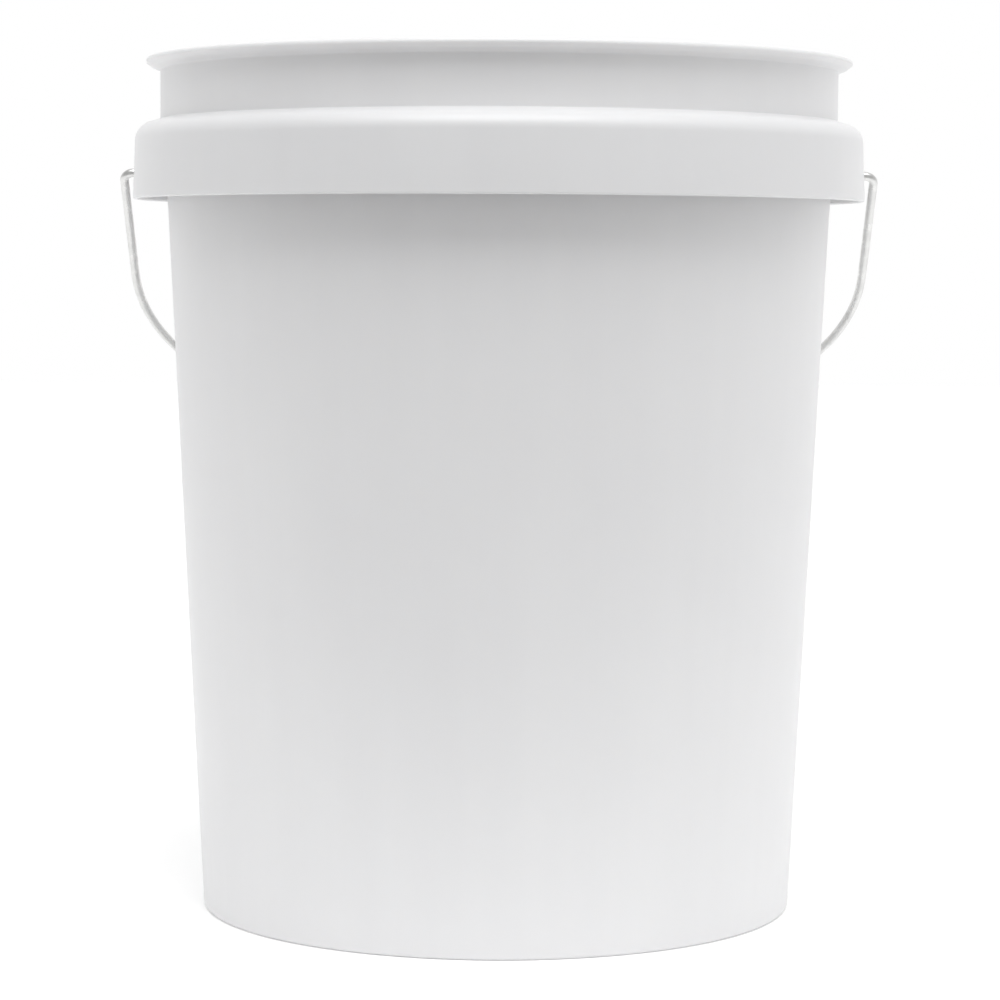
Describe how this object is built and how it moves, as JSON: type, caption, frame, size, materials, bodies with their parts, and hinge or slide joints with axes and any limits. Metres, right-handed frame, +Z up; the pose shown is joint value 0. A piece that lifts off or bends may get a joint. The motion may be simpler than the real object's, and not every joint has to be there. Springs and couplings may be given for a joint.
{
  "type": "brewing bucket",
  "caption": "Tapered white plastic bucket with a lid lip, a ribbed collar and a steel wire bail with a tube grip that swings over the rim.",
  "frame": {"origin": "on the surface it stands on, under the middle of the bucket", "axes": "+Z up; X along the bail's pivot line through both ears; +Y towards the side where the bail hangs at rest"},
  "size_m": [0.331, 0.3172, 0.3683],
  "materials": {
    "body_plastic": "semi-gloss moulded polyethylene, slightly translucent",
    "bail_steel": "bright galvanised wire with drawing marks",
    "grip_plastic": "fine matt moulding texture"
  },
  "bodies": {
    "bucket": {"bucket_body": "body_plastic"},
    "bail": {"bail_wire": "bail_steel"},
    "grip": {"hand_grip": "grip_plastic"}
  },
  "joints": [
    {"name": "bail_swing", "type": "hinge", "parent": "bucket", "child": "bail", "pos_m": [0, 0, 0.3193], "axis": [1, 0, 0], "range_deg": [0, 270]},
    {"name": "grip_spin", "type": "hinge", "parent": "bail", "child": "grip", "pos_m": [0, 0.14729, 0.17201], "axis": [1, 0, 0], "continuous": true}
  ]
}
